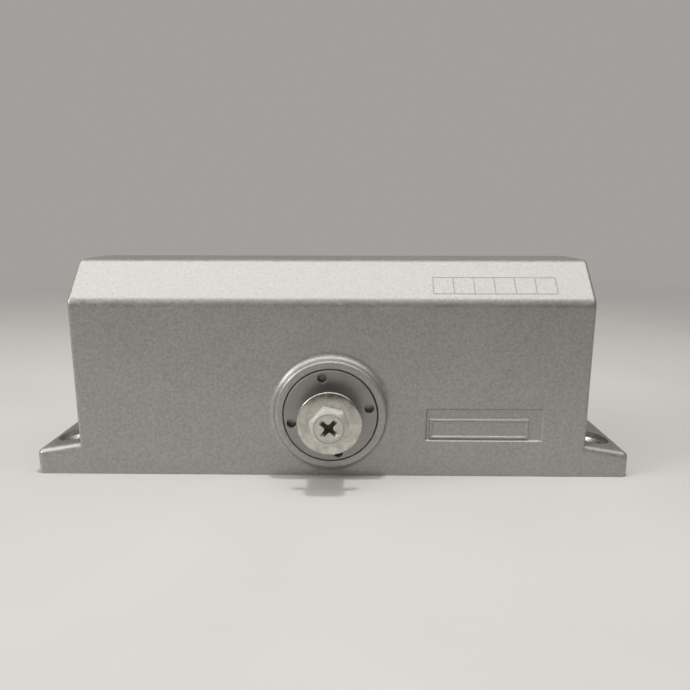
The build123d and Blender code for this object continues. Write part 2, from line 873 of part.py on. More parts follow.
pieces = {
    "body_casting": body_casting(),
    "spindle_cap": spindle_cap(),
    "spindle_cap_o_ring": o_ring_y(cap_hole_radius, cap_groove_y - o_ring_groove_width / 2),
    "spindle_seal": spindle_seal(),
    "front_bearing_cup": bearing_cup(front_journal_diameter, front_cup_radius, *front_bearing[1:]),
    "front_bearing_cage": bearing_cage(*front_bearing),
    "front_bearing_rollers": bearing_rollers(*front_bearing),
    "rear_bearing_cup": bearing_cup(rear_journal_diameter, rear_cup_radius, *rear_bearing[1:]),
    "rear_bearing_cage": bearing_cage(*rear_bearing),
    "rear_bearing_rollers": bearing_rollers(*rear_bearing),
    "front_thrust_washer": thrust_washer(
        front_journal_diameter / 2, front_thrust_diameter, front_shoulder_y - thrust_washer_thickness
    ),
    "rear_thrust_washer": thrust_washer(rear_journal_diameter / 2, rear_thrust_diameter, rear_shoulder_y),
    "spindle_pinion": spindle_pinion(),
    "arm_washer": arm_washer(),
    "arm_screw": arm_screw(),
    "piston": piston(),
    "piston_seal": piston_seal(),
    "check_ball": Pos(ball_x, 0, ball_z) * Sphere(ball_radius),
    "check_ball_retainer": check_ball_retainer(),
    "main_spring": main_spring(),
    "spring_end_plug": end_plug(-1, True),
    "spring_plug_o_ring": o_ring_x(bore_radius, -plug_ring_x, 0, bore_z),
    "valve_end_plug": end_plug(1, False),
    "valve_plug_o_ring": o_ring_x(bore_radius, plug_ring_x, 0, bore_z),
}
for name, y in (("sweep", -valve_spread / 2), ("latch", valve_spread / 2)):
    pieces[f"{name}_valve_screw"] = valve_screw(y)
    pieces[f"{name}_valve_o_ring"] = o_ring_x(valve_bore_radius, valve_ring_x, y, valve_height)

os.makedirs("parts", exist_ok=True)
for name, shape in pieces.items():
    export_step(shape, f"parts/{name}.step")
print(f"overall {overall_length:.1f} mm, stroke {stroke:.2f} mm")
print(f"mounting holes {hole_spacing:.1f} by {hole_row_gap:.1f} mm")
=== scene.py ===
import json
from math import cos, pi, radians, sin

import bmesh
import bpy
from mathutils import Matrix, Vector

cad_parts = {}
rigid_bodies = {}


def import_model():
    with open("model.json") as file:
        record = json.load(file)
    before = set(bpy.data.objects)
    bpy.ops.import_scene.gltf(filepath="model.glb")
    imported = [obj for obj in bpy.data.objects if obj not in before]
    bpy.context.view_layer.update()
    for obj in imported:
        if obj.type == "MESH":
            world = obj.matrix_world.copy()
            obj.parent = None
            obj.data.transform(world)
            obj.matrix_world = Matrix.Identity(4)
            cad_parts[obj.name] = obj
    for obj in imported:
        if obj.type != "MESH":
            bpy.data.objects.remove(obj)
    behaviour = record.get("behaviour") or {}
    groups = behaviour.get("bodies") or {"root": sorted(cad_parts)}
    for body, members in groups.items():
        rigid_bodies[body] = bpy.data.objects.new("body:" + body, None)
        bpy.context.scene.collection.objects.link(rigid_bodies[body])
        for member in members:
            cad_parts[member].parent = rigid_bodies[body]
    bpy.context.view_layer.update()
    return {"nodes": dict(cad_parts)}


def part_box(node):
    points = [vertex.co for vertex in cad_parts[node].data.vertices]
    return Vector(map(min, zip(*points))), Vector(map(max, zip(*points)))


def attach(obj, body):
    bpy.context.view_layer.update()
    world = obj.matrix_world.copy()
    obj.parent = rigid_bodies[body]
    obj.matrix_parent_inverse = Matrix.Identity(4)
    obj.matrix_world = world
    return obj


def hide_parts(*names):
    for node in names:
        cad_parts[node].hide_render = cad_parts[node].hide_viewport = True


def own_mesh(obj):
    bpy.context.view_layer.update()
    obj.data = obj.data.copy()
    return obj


# The startup objects go first
for leftOver in list(bpy.data.objects):
    bpy.data.objects.remove(leftOver)

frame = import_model()
mm = 0.001
print("frame loaded,", len(frame["nodes"]), "nodes")


# A socket in a material, with sums written as plain expressions
class Wire:
    def __init__(self, tree, socket=None):
        self.tree = tree
        self.socket = socket

    def add(self, kind, settings, values, output=0):
        made = self.tree.nodes.new(kind)
        for name, setting in settings.items():
            setattr(made, name, setting)
        for name, value in values.items():
            if isinstance(value, Wire):
                self.tree.links.new(value.socket, made.inputs[name])
            else:
                made.inputs[name].default_value = value
        return Wire(self.tree, made.outputs[output])

    def sum(self, operation, first, second):
        return self.add("ShaderNodeMath", {"operation": operation}, {0: first, 1: second})

    def __add__(self, other):
        return self.sum("ADD", self, other)

    def __radd__(self, other):
        return self.sum("ADD", other, self)

    def __sub__(self, other):
        return self.sum("SUBTRACT", self, other)

    def __rsub__(self, other):
        return self.sum("SUBTRACT", other, self)

    def __mul__(self, other):
        return self.sum("MULTIPLY", self, other)

    def __rmul__(self, other):
        return self.sum("MULTIPLY", other, self)


def noise(place, size, detail, rough):
    values = {"Vector": place, "Scale": 1 / size, "Detail": detail, "Roughness": rough}
    return place.add("ShaderNodeTexNoise", {}, values)


def cells(place, size, output="Distance"):
    return place.add("ShaderNodeTexVoronoi", {}, {"Vector": place, "Scale": 1 / size}, output)


def ease(value, low, high):
    values = {"Value": value, "From Min": low, "From Max": high}
    return value.add("ShaderNodeMapRange", {"interpolation_type": "SMOOTHSTEP"}, values)


# A pattern from 0 to 1, made to swing about zero over a span
def swing(pattern, span):
    return (pattern - 0.5) * span


def blendColour(share, first, second):
    settings = {"data_type": "RGBA", "clamp_factor": True}
    return share.add("ShaderNodeMix", settings, {0: share, 6: first, 7: second}, 2)


def bumpFrom(height, depth, strength=0.5):
    return height.add("ShaderNodeBump", {}, {"Height": height, "Distance": depth, "Strength": strength})


def startMaterial(name, constants):
    material = bpy.data.materials.new(name)
    material.use_nodes = True
    tree = material.node_tree
    shader = tree.nodes["Principled BSDF"]
    for socket, value in constants.items():
        shader.inputs[socket].default_value = value
    place = Wire(tree).add("ShaderNodeTexCoord", {}, {}, "Object")
    return material, shader, place


def feed(shader, **wires):
    for name, wire in wires.items():
        wire.tree.links.new(wire.socket, shader.inputs[name.replace("_", " ")])


# Distance from an axis and length along it, from a point on it
def aboutAxis(place, axis, centre):
    moved = place.add("ShaderNodeVectorMath", {"operation": "SUBTRACT"}, {0: place, 1: centre})
    across = [0.0 if way else 1.0 for way in axis]
    flat = place.add("ShaderNodeVectorMath", {"operation": "MULTIPLY"}, {0: moved, 1: across})
    radius = place.add("ShaderNodeVectorMath", {"operation": "LENGTH"}, {0: flat}, "Value")
    along = place.add("ShaderNodeVectorMath", {"operation": "DOT_PRODUCT"}, {0: moved, 1: axis}, "Value")
    return radius, along


# Lathe lines follow the radius on a face and the length on a rim
def latheLines(place, axis, centre, pitch):
    radius, along = aboutAxis(place, axis, centre)
    phase = (radius + along) * (2 * pi / pitch)
    return phase.sum("SINE", phase, 0.0) * 0.5 + 0.5


paintFinish = {
    "shade": (0.31, 0.304, 0.285, 1),
    "bright": (0.53, 0.52, 0.488, 1),
    "metallic": 0.75,
    "roughness": 0.42,
    "roughSwing": 0.1,
    "grain": 0.85 * mm,
    "grainRange": (0.3, 0.7),
    "grainTone": 0.39,
    "grainRelief": 0.7,
    "flake": 0.3 * mm,
    "flakeRange": (0.3, 0.9),
    "flakeTone": 0.28,
    "flakeRelief": 0.3,
    "cloud": 24 * mm,
    "cloudTone": 0.34,
    "relief": 0.02 * mm,
}
seatFinish = {
    "bare": (0.7, 0.69, 0.67, 1),
    "roughness": 0.3,
    "reliefLoss": 0.7,
    "middle": Vector((82.5, 9.5, 7.1)) * mm,  # the other three mirror it
    "reach": 6.05 * mm,
    "edge": 6.2 * mm,
    "depth": 6 * mm,
    "blend": 0.1 * mm,
}


# Silver paint: fine grain, single bright flakes and a faint cloudiness, cut through to bare metal
# where the four mounting holes have their seats
def castPaint():
    look, seat = paintFinish, seatFinish
    material, shader, place = startMaterial("castPaint", {})
    grain = ease(noise(place, look["grain"], detail=2, rough=0.6), *look["grainRange"])
    flake = cells(place, look["flake"], "Color")  # its grey is one chance value for each flake
    cloud = noise(place, look["cloud"], detail=3, rough=0.55)
    glint = ease(flake, *look["flakeRange"])
    tone = grain * look["grainTone"] + cloud * look["cloudTone"] + glint * look["flakeTone"]
    paint = blendColour(tone, look["shade"], look["bright"])
    rough = look["roughness"] + swing(grain, look["roughSwing"]) + swing(cloud, look["roughSwing"])
    relief = grain * look["grainRelief"] + flake * look["flakeRelief"]

    folded = place.add("ShaderNodeVectorMath", {"operation": "ABSOLUTE"}, {0: place})
    radius, rise = aboutAxis(folded, (0, 0, 1), seat["middle"])
    aboveFloor = ease(rise, -seat["depth"] - seat["blend"], -seat["depth"])
    aboveSeat = ease(rise, 0.0, seat["blend"])
    bare = (aboveFloor - aboveSeat) * (1 - ease(radius, seat["reach"], seat["edge"]))
    feed(
        shader,
        Base_Color=blendColour(bare, paint, seat["bare"]),
        Metallic=look["metallic"] + bare * (1 - look["metallic"]),
        Roughness=rough + bare * (seat["roughness"] - look["roughness"]),
        Normal=bumpFrom(relief * (1 - bare * seat["reliefLoss"]), look["relief"]),
    )
    return material


etchFinish = {
    "shade": (0.2, 0.195, 0.185, 1),
    "bright": (0.34, 0.335, 0.32, 1),
    "metallic": 0.3,
    "roughness": 0.55,
    "roughSwing": 0.2,
    "spot": 0.2 * mm,
    "spotRange": (0.3, 0.7),
}


# Matt grey of the etched lines, a little spotted
def etchedMark():
    look = etchFinish
    material, shader, place = startMaterial("etchedMark", {"Metallic": look["metallic"]})
    spot = noise(place, look["spot"], detail=2, rough=0.7)
    feed(
        shader,
        Base_Color=blendColour(ease(spot, *look["spotRange"]), look["shade"], look["bright"]),
        Roughness=look["roughness"] + swing(spot, look["roughSwing"]),
    )
    return material


capFinish = {
    "shade": (0.27, 0.265, 0.25, 1),
    "bright": (0.4, 0.395, 0.375, 1),
    "metallic": 0.85,
    "pitch": 0.35 * mm,
    "stain": 6 * mm,
    "roughness": 0.38,
    "relief": 0.012 * mm,
}
plugFinish = {
    "shade": (0.36, 0.36, 0.355, 1),
    "bright": (0.56, 0.56, 0.55, 1),
    "metallic": 0.9,
    "pitch": 0.5 * mm,
    "stain": 8 * mm,
    "roughness": 0.36,
    "relief": 0.012 * mm,
}
spindleFinish = {
    "shade": (0.28, 0.28, 0.285, 1),
    "bright": (0.45, 0.45, 0.455, 1),
    "metallic": 0.95,
    "pitch": 0.3 * mm,
    "stain": 4 * mm,
    "roughness": 0.32,
    "relief": 0.008 * mm,
}
pistonFinish = {
    "shade": (0.24, 0.24, 0.245, 1),
    "bright": (0.38, 0.38, 0.385, 1),
    "metallic": 0.9,
    "pitch": 0.4 * mm,
    "stain": 7 * mm,
    "roughness": 0.34,
    "relief": 0.01 * mm,
}
bearingFinish = {
    "shade": (0.45, 0.45, 0.46, 1),
    "bright": (0.62, 0.62, 0.63, 1),
    "metallic": 1.0,
    "pitch": 0.2 * mm,
    "stain": 3 * mm,
    "roughness": 0.2,
    "relief": 0.003 * mm,
}
brassFinish = {
    "shade": (0.44, 0.31, 0.12, 1),
    "bright": (0.66, 0.5, 0.24, 1),
    "metallic": 1.0,
    "pitch": 0.25 * mm,
    "stain": 3 * mm,
    "roughness": 0.32,
    "relief": 0.008 * mm,
}
latheWear = {
    "unevenPitches": 2.5,
    "lineShare": 0.55,
    "unevenShare": 0.45,
    "cutTone": 0.45,
    "stainTone": 0.8,
    "toneLoss": 0.15,
    "cutRough": 0.12,
    "stainRough": 0.14,
}


# Turned metal: the lathe's lines, cut a little unevenly, and a soft stain
def turnedMetal(name, axis, centre, finish):
    look = finish | latheWear
    material, shader, place = startMaterial(name, {"Metallic": look["metallic"]})
    lines = latheLines(place, axis, centre, look["pitch"])
    uneven = noise(place, look["pitch"] * look["unevenPitches"], detail=2, rough=0.6)
    stain = noise(place, look["stain"], detail=3, rough=0.55)
    cut = lines * look["lineShare"] + uneven * look["unevenShare"]
    tone = cut * look["cutTone"] + stain * look["stainTone"] - look["toneLoss"]
    feed(
        shader,
        Base_Color=blendColour(tone, look["shade"], look["bright"]),
        Roughness=look["roughness"] + swing(cut, look["cutRough"]) + swing(stain, look["stainRough"]),
        Normal=bumpFrom(cut, look["relief"]),
    )
    return material


washerFinish = {
    "shade": (0.44, 0.425, 0.38, 1),
    "bright": (0.66, 0.65, 0.6, 1),
    "warm": (0.6, 0.52, 0.43, 1),
    "metallic": 1.0,
    "cloud": 2.6 * mm,
    "pit": 0.3 * mm,
    "roughness": 0.25,
}
screwFinish = {
    "shade": (0.5, 0.49, 0.44, 1),
    "bright": (0.66, 0.65, 0.6, 1),
    "warm": (0.6, 0.55, 0.46, 1),
    "metallic": 0.3,
    "cloud": 1.8 * mm,
    "pit": 0.25 * mm,
    "roughness": 0.34,
}
platingWear = {
    "cloudTone": 0.87,
    "pitTone": 0.13,
    "toneRange": (0.3, 0.65),
    "tint": 5 * mm,
    "tintRange": (0.5, 0.75),
    "tintShare": 0.5,
    # colour of the painted shade in the driver recess and on the head's face ring
    "grime": (0.16, 0.152, 0.125, 1),
    "grimeStart": 0.15 * mm,
    "grimeDepth": 1.3 * mm,
    "grimeReach": 3.2 * mm,
    "grimeEdge": 3.6 * mm,
    "grimeDulling": 0.8,
    "grimeRough": 0.4,
    # a thin uneven ring of painted shade on the head's face
    "dirtRing": 4.2 * mm,
    "dirtWidth": 0.32 * mm,
    "dirtDepth": 0.12 * mm,
    "dirtRange": (0.3, 0.6),
    "dirtShare": 0.75,
    "cloudRough": 0.2,
    "pitRough": 0.12,
    "cloudRelief": 0.4,
    "pitRelief": 0.6,
    "relief": 0.006 * mm,
}


# Zinc plating: cloudy patches, a faint warm tint and shallow pits, with painted shade down in the driver
# recess and a thin uneven ring of painted shade on the head's face
def zincPlate(name, finish, headFace):
    look = finish | platingWear
    material, shader, place = startMaterial(name, {})
    cloud = noise(place, look["cloud"], detail=3, rough=0.6)
    tint = noise(place, look["tint"], detail=2, rough=0.5)
    pit = noise(place, look["pit"], detail=2, rough=0.6)
    tone = ease(cloud * look["cloudTone"] + pit * look["pitTone"], *look["toneRange"])
    plain = blendColour(tone, look["shade"], look["bright"])
    warmed = blendColour(ease(tint, *look["tintRange"]) * look["tintShare"], plain, look["warm"])

    # Painted shade: darker and less metallic down in the driver recess, and in a thin ring on the head's
    # face
    radius, depth = aboutAxis(place, spindleAxis, headFace)
    inRecess = 1 - ease(radius, look["grimeReach"], look["grimeEdge"])
    # Painted shade: a thin, uneven dark ring on the head's face
    offRing = radius.sum("ABSOLUTE", radius - look["dirtRing"], 0.0)
    onRing = 1 - ease(offRing, 0.0, look["dirtWidth"])
    onFace = 1 - ease(depth, look["dirtDepth"] / 2, look["dirtDepth"])
    paintedRingShade = onRing * onFace * ease(cloud, *look["dirtRange"]) * look["dirtShare"]
    grime = ease(depth, look["grimeStart"], look["grimeDepth"]) * inRecess + paintedRingShade
    rough = look["roughness"] + swing(cloud, look["cloudRough"]) + swing(pit, look["pitRough"])
    feed(
        shader,
        Base_Color=blendColour(grime, warmed, look["grime"]),
        Metallic=look["metallic"] * (1 - grime * look["grimeDulling"]),
        Roughness=rough + grime * look["grimeRough"],
        Normal=bumpFrom(pit * look["pitRelief"] + cloud * look["cloudRelief"], look["relief"]),
    )
    return material


springFinish = {
    "shade": (0.09, 0.095, 0.105, 1),
    "bright": (0.2, 0.205, 0.215, 1),
    "metallic": 0.9,
    "roughness": 0.4,
    "roughSwing": 0.2,
    "dent": 0.6 * mm,
    "dentTone": 0.3,
    "stain": 5 * mm,
    "stainTone": 0.8,
    "relief": 0.02 * mm,
    "reliefStrength": 0.6,
}


# Oil-hardened and shot-peened wire
def springSteel():
    look = springFinish
    material, shader, place = startMaterial("springSteel", {"Metallic": look["metallic"]})
    dent = cells(place, look["dent"])
    stain = noise(place, look["stain"], detail=3, rough=0.6)
    tone = stain * look["stainTone"] + dent * look["dentTone"]
    feed(
        shader,
        Base_Color=blendColour(tone, look["shade"], look["bright"]),
        Roughness=look["roughness"] + swing(stain, look["roughSwing"]),
        Normal=bumpFrom(dent, look["relief"], look["reliefStrength"]),
    )
    return material


rubberFinish = {
    "shade": (0.012, 0.012, 0.013, 1),
    "bright": (0.035, 0.035, 0.037, 1),
    "dust": 1.5 * mm,
    "roughness": 0.5,
}
sealFinish = {
    "shade": (0.62, 0.6, 0.53, 1),
    "bright": (0.78, 0.76, 0.7, 1),
    "dust": 2.5 * mm,
    "roughness": 0.42,
}
mouldWear = {
    "fineShrink": 0.15,
    "dustTone": 0.7,
    "fineTone": 0.3,
    "roughSwing": 0.2,
    "relief": 0.01 * mm,
    "reliefStrength": 0.4,
}


# Moulded rubber or plastic with a film of dust
def mouldedSoft(name, finish):
    look = finish | mouldWear
    material, shader, place = startMaterial(name, {})
    dust = noise(place, look["dust"], detail=3, rough=0.6)
    fine = noise(place, look["dust"] * look["fineShrink"], detail=2, rough=0.5)
    tone = dust * look["dustTone"] + fine * look["fineTone"]
    feed(
        shader,
        Base_Color=blendColour(tone, look["shade"], look["bright"]),
        Roughness=look["roughness"] + swing(dust, look["roughSwing"]),
        Normal=bumpFrom(fine, look["relief"], look["reliefStrength"]),
    )
    return material


def boxCentre(node):
    low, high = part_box(node)
    return (Vector(low) + Vector(high)) / 2


spindleAxis, boreAxis = (0, 1, 0), (1, 0, 0)
spindleCentre = boxCentre("arm_washer")
headFace = Vector((0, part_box("arm_screw")[0][1], spindleCentre.z))
boreCentre = boxCentre("spring_end_plug")
materials = {
    "paint": castPaint(),
    "etch": etchedMark(),
    "cap": turnedMetal("turnedCap", spindleAxis, spindleCentre, capFinish),
    "plug": turnedMetal("turnedPlug", boreAxis, boreCentre, plugFinish),
    "spindle": turnedMetal("groundSpindle", spindleAxis, spindleCentre, spindleFinish),
    "piston": turnedMetal("turnedPiston", boreAxis, boreCentre, pistonFinish),
    "bearing": turnedMetal("bearingSteel", spindleAxis, spindleCentre, bearingFinish),
    "sweepBrass": turnedMetal("sweepBrass", boreAxis, boxCentre("sweep_valve_screw"), brassFinish),
    "latchBrass": turnedMetal("latchBrass", boreAxis, boxCentre("latch_valve_screw"), brassFinish),
    "washerZinc": zincPlate("washerZinc", washerFinish, headFace),
    "screwZinc": zincPlate("screwZinc", screwFinish, headFace),
    "spring": springSteel(),
    "rubber": mouldedSoft("oilSealRubber", rubberFinish),
    "seal": mouldedSoft("pistonSealPlastic", sealFinish),
}
print("materials made,", len(materials))


def meshObject(name, bm, material):
    mesh = bpy.data.meshes.new(name)
    bm.to_mesh(mesh)
    bm.free()
    mesh.materials.append(material)
    made = bpy.data.objects.new(name, mesh)
    bpy.context.scene.collection.objects.link(made)
    return made


def placePiece(name, bm, material, body, node=None, weighted=True):
    piece = meshObject(name, bm, materials[material])
    if weighted:
        normals = piece.modifiers.new("evenShading", "WEIGHTED_NORMAL")
        normals.keep_sharp = True
    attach(piece, body)
    if node:
        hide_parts(node)
    return piece


edgeSpec = {
    "merge": 0.002 * mm,
    "flat": radians(0.4),
    "level": 0.01 * mm,
    "segments": 2,
    "smoothBelow": radians(50),
}


# A merged copy of a solid, with its flat faces made whole
def mergedCopy(node):
    bm = bmesh.new()
    bm.from_mesh(frame["nodes"][node].data)
    bmesh.ops.remove_doubles(bm, verts=bm.verts[:], dist=edgeSpec["merge"])
    bmesh.ops.dissolve_limit(bm, angle_limit=edgeSpec["flat"], verts=bm.verts[:], edges=bm.edges[:])
    return bm


def smoothFaces(bm):
    for face in bm.faces:
        face.smooth = True


def smoothEdges(bm, below):
    for edge in bm.edges:
        edge.smooth = not edge.is_manifold or edge.calc_face_angle() < below


# Crisp edges rounded off, and the others shaded smooth
def soften(bm, width, sharpAngle=30, pick=None):
    crisp = [edge for edge in bm.edges if edge.is_manifold and edge.calc_face_angle() > radians(sharpAngle)]
    bmesh.ops.bevel(
        bm,
        geom=[edge for edge in crisp if pick is None or pick(edge)],
        offset=width,
        offset_type="OFFSET",
        affect="EDGES",
        segments=edgeSpec["segments"],
        profile=0.5,
        material=-1,
        clamp_overlap=True,
    )
    smoothFaces(bm)
    smoothEdges(bm, edgeSpec["smoothBelow"])


def fromSpindle(place):
    return Vector((place.x, place.z - spindleCentre.z)).length


castBodySpec = {
    "edge": 0.16 * mm,
    "innerX": 77.3 * mm,
    "innerY": 20.3 * mm,
    "innerLow": 0.2 * mm,
    "innerHigh": 65.2 * mm,
    "capSeat": 14.6 * mm,
}


# Cast body, softened on its outside only
def castBody():
    spec = castBodySpec

    def outside(edge):
        middle = (edge.verts[0].co + edge.verts[1].co) / 2
        inX = abs(middle.x) < spec["innerX"]
        inY = abs(middle.y) < spec["innerY"]
        inZ = spec["innerLow"] < middle.z < spec["innerHigh"]
        byCap = fromSpindle(middle) < spec["capSeat"]
        return not (inX and inZ and (inY or byCap))

    bm = mergedCopy("body_casting")
    soften(bm, spec["edge"], pick=outside)
    placePiece("castBody", bm, "paint", "casing", "body_casting")


castBody()

codeBoxSpec = {
    "left": 30.3 * mm,
    "right": 66.6 * mm,
    "low": 3.1 * mm,
    "high": 9.1 * mm,
    "cells": 6,
    "line": 0.26 * mm,
    "film": 0.02 * mm,
    "shoulder": Vector((0, -21, 53.8)) * mm,
    "crest": Vector((0, -10, 65.4)) * mm,
}


# Six empty cells etched on the front slope
def codeBoxes():
    spec = codeBoxSpec
    bm = bmesh.new()
    bmesh.ops.create_grid(bm, x_segments=spec["cells"], y_segments=1, size=0.5)
    width = spec["right"] - spec["left"]
    height = spec["high"] - spec["low"]
    bmesh.ops.scale(bm, vec=(width, height, 1), verts=bm.verts[:])
    panes = bm.faces[:]
    bmesh.ops.inset_individual(bm, faces=panes, thickness=spec["line"] / 2, use_even_offset=True)
    bmesh.ops.delete(bm, geom=panes, context="FACES")
    # The outer border is moved out to the width of the lines between the cells
    for way in (Vector((1, 0, 0)), Vector((-1, 0, 0)), Vector((0, 1, 0)), Vector((0, -1, 0))):
        reach = max(vert.co.dot(way) for vert in bm.verts) - edgeSpec["level"]
        border = [vert for vert in bm.verts if vert.co.dot(way) > reach]
        bmesh.ops.translate(bm, vec=way * spec["line"] / 2, verts=border)
    bmesh.ops.solidify(bm, geom=bm.faces[:], thickness=-spec["film"])
    # Laid on the slope, measured up from its shoulder
    side = Vector((1, 0, 0))
    up = (spec["crest"] - spec["shoulder"]).normalized()
    turn = Matrix((side, up, side.cross(up))).transposed().to_4x4()
    middle = spec["shoulder"] + up * (spec["low"] + spec["high"]) / 2
    middle += side * (spec["left"] + spec["right"]) / 2
    bmesh.ops.transform(bm, matrix=Matrix.Translation(middle) @ turn, verts=bm.verts[:])
    bmesh.ops.recalc_face_normals(bm, faces=bm.faces[:])
    placePiece("codeBoxes", bm, "etch", "casing", weighted=False)


codeBoxes()
print("body and its etched cells made")

washerSpec = {
    "hole": 3.3 * mm,
    "seat": 5.0 * mm,
    "crown": 0.5 * mm,
    "rim": 0.3 * mm,
    "rimSegments": 4,
    "bands": 15,
    "steps": 128,
}


# Stamped washer: a flat seat, a crowned face and a rolled rim, spun about the spindle
def clampWasher():
    spec = washerSpec
    low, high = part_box("arm_washer")
    outer = (high[0] - low[0]) / 2
    front, back = low[1], high[1]
    bm = bmesh.new()
    corners = [(spec["hole"], back), (outer, back), (outer, front), (spec["hole"], front)]
    ring = [bm.verts.new((radius, y, spindleCentre.z)) for radius, y in corners]
    for first, second in zip(ring, ring[1:] + ring[:1]):
        bm.edges.new((first, second))
    bmesh.ops.bevel(
        bm,
        geom=ring,
        offset=spec["rim"],
        affect="VERTICES",
        segments=spec["rimSegments"],
        profile=0.5,
        material=-1,
    )
    # The front edge of the section is the long one nearest to the viewer, and gets the crown
    long = [edge for edge in bm.edges if edge.calc_length() > back - front]
    frontEdge = min(long, key=lambda edge: edge.verts[0].co.y)
    bmesh.ops.subdivide_edges(bm, edges=[frontEdge], cuts=spec["bands"])
    for vert in bm.verts:
        if vert.co.y < (front + back) / 2:
            share = max(0, (vert.co.x - spec["seat"]) / (outer - spec["seat"]))
            vert.co.y += spec["crown"] * share**2
    bmesh.ops.spin(
        bm,
        geom=bm.verts[:] + bm.edges[:],
        cent=(0, 0, spindleCentre.z),
        axis=spindleAxis,
        angle=2 * pi,
        steps=spec["steps"],
        use_merge=True,
    )
    bmesh.ops.remove_doubles(bm, verts=bm.verts[:], dist=edgeSpec["merge"])
    bmesh.ops.recalc_face_normals(bm, faces=bm.faces[:])
    smoothFaces(bm)
    placePiece("clampWasher", bm, "washerZinc", "spindle", "arm_washer")


clampWasher()

capSpec = {"edge": 0.13 * mm, "proud": 0.22 * mm, "rim": 13.4 * mm, "spread": 1.012}


# The cap's front stands a hair proud of the boss and its rim is cut back less, which leaves a fine ring
def spannerCap():
    spec = capSpec
    bm = mergedCopy("spindle_cap")
    front = min(vert.co.y for vert in bm.verts)
    face = [vert for vert in bm.verts if vert.co.y < front + edgeSpec["level"]]
    bmesh.ops.translate(bm, vec=(0, -spec["proud"], 0), verts=face)
    rim = [vert for vert in face if fromSpindle(vert.co) > spec["rim"]]
    away = Matrix.Translation((0, 0, -spindleCentre.z))
    bmesh.ops.scale(bm, vec=(spec["spread"], 1, spec["spread"]), space=away, verts=rim)
    soften(bm, spec["edge"])
    placePiece("spannerCap", bm, "cap", "casing", "spindle_cap")


spannerCap()

# Turned, milled and plated pieces: node, edge width, least edge angle, material, body, slot
softEdged = {
    "clampScrew": ("arm_screw", 0.1 * mm, 18, "screwZinc", "spindle", "zinc_plate"),
    "gearSpindle": ("spindle_pinion", 0.08 * mm, 30, "spindle", "spindle", "steel"),
    "springPlug": ("spring_end_plug", 0.14 * mm, 30, "plug", "casing", "plug_alloy"),
    "valvePlug": ("valve_end_plug", 0.14 * mm, 30, "plug", "casing", "plug_alloy"),
    "sweepScrew": ("sweep_valve_screw", 0.07 * mm, 30, "sweepBrass", "sweep_valve", "brass"),
    "latchScrew": ("latch_valve_screw", 0.07 * mm, 30, "latchBrass", "latch_valve", "brass"),
}
for pieceName, (node, width, sharpAngle, material, body, slot) in softEdged.items():
    bm = mergedCopy(node)
    soften(bm, width, sharpAngle)
    placePiece(pieceName, bm, material, body, node)
print("washer, cap, screws, spindle and plugs made")

coilSpec = {
    "wire": 4.2 * mm,
    "circle": 11.4 * mm,
    "turns": 5.5,
    "closedTurns": 0.75,
    "closedPitch": 4.8 * mm,
    "ground": 1.05 * mm,
    "stepsPerTurn": 48,
    "sides": 20,
    "endCorners": 6,
    "smoothBelow": radians(40),
    "squeezed": 0.476,  # share of its length left at full stroke
}


# Main spring: the wire's circle spun round the bore, closed and ground flat at both ends
def mainCoil():
    spec = coilSpec
    low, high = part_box("main_spring")
    start, end = low[0], high[0]
    first, last = start + spec["ground"], end - spec["ground"]
    closedTurns, closedPitch = spec["closedTurns"], spec["closedPitch"]
    openTurns = spec["turns"] - 2 * closedTurns
    openPitch = (last - first - 2 * closedTurns * closedPitch) / openTurns
    bm = bmesh.new()
    wireCentre = Matrix.Translation((first, spec["circle"], boreCentre.z))
    bmesh.ops.create_circle(bm, segments=spec["sides"], radius=spec["wire"] / 2, matrix=wireCentre)
    loop = bm.verts[:] + bm.edges[:]
    bmesh.ops.contextual_create(bm, geom=loop)
    for turns, pitch in ((closedTurns, closedPitch), (openTurns, openPitch), (closedTurns, closedPitch)):
        steps = round(turns * spec["stepsPerTurn"])
        spun = bmesh.ops.spin(
            bm,
            geom=loop,
            cent=(0, 0, boreCentre.z),
            axis=boreAxis,
            dvec=(pitch * turns / steps, 0, 0),
            angle=2 * pi * turns,
            steps=steps,
        )
        loop = [part for part in spun["geom_last"] if not isinstance(part, bmesh.types.BMFace)]
    bmesh.ops.contextual_create(bm, geom=loop)
    for place, way in ((start, -1), (end, 1)):
        cut = bmesh.ops.bisect_plane(
            bm,
            geom=bm.verts[:] + bm.edges[:] + bm.faces[:],
            plane_co=(place, 0, 0),
            plane_no=(way, 0, 0),
            clear_outer=True,
        )
        edges = [part for part in cut["geom_cut"] if isinstance(part, bmesh.types.BMEdge)]
        bmesh.ops.holes_fill(bm, edges=edges, sides=0)
    bmesh.ops.remove_doubles(bm, verts=bm.verts[:], dist=edgeSpec["merge"])
    bmesh.ops.recalc_face_normals(bm, faces=bm.faces[:])
    for face in bm.faces:
        face.smooth = len(face.verts) < spec["endCorners"]  # the ground ends stay flat
    smoothEdges(bm, spec["smoothBelow"])
    coil = placePiece("mainCoil", bm, "spring", "casing", "main_spring", weighted=False)
    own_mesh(coil)


mainCoil()

# Inner pieces keep their solids and take a worked finish
innerFinish = {
    "bearing": (
        "front_bearing_cup",
        "front_bearing_cage",
        "front_bearing_rollers",
        "rear_bearing_cup",
        "rear_bearing_cage",
        "rear_bearing_rollers",
        "front_thrust_washer",
        "rear_thrust_washer",
        "check_ball",
        "check_ball_retainer",
    ),
    "piston": ("piston",),
    "seal": ("piston_seal",),
    "rubber": (
        "spindle_seal",
        "spindle_cap_o_ring",
        "spring_plug_o_ring",
        "valve_plug_o_ring",
        "sweep_valve_o_ring",
        "latch_valve_o_ring",
    ),
}
for material, nodes in innerFinish.items():
    for node in nodes:
        frame["nodes"][node].material_slots[0].material = materials[material]
print("coil and inner finishes made")

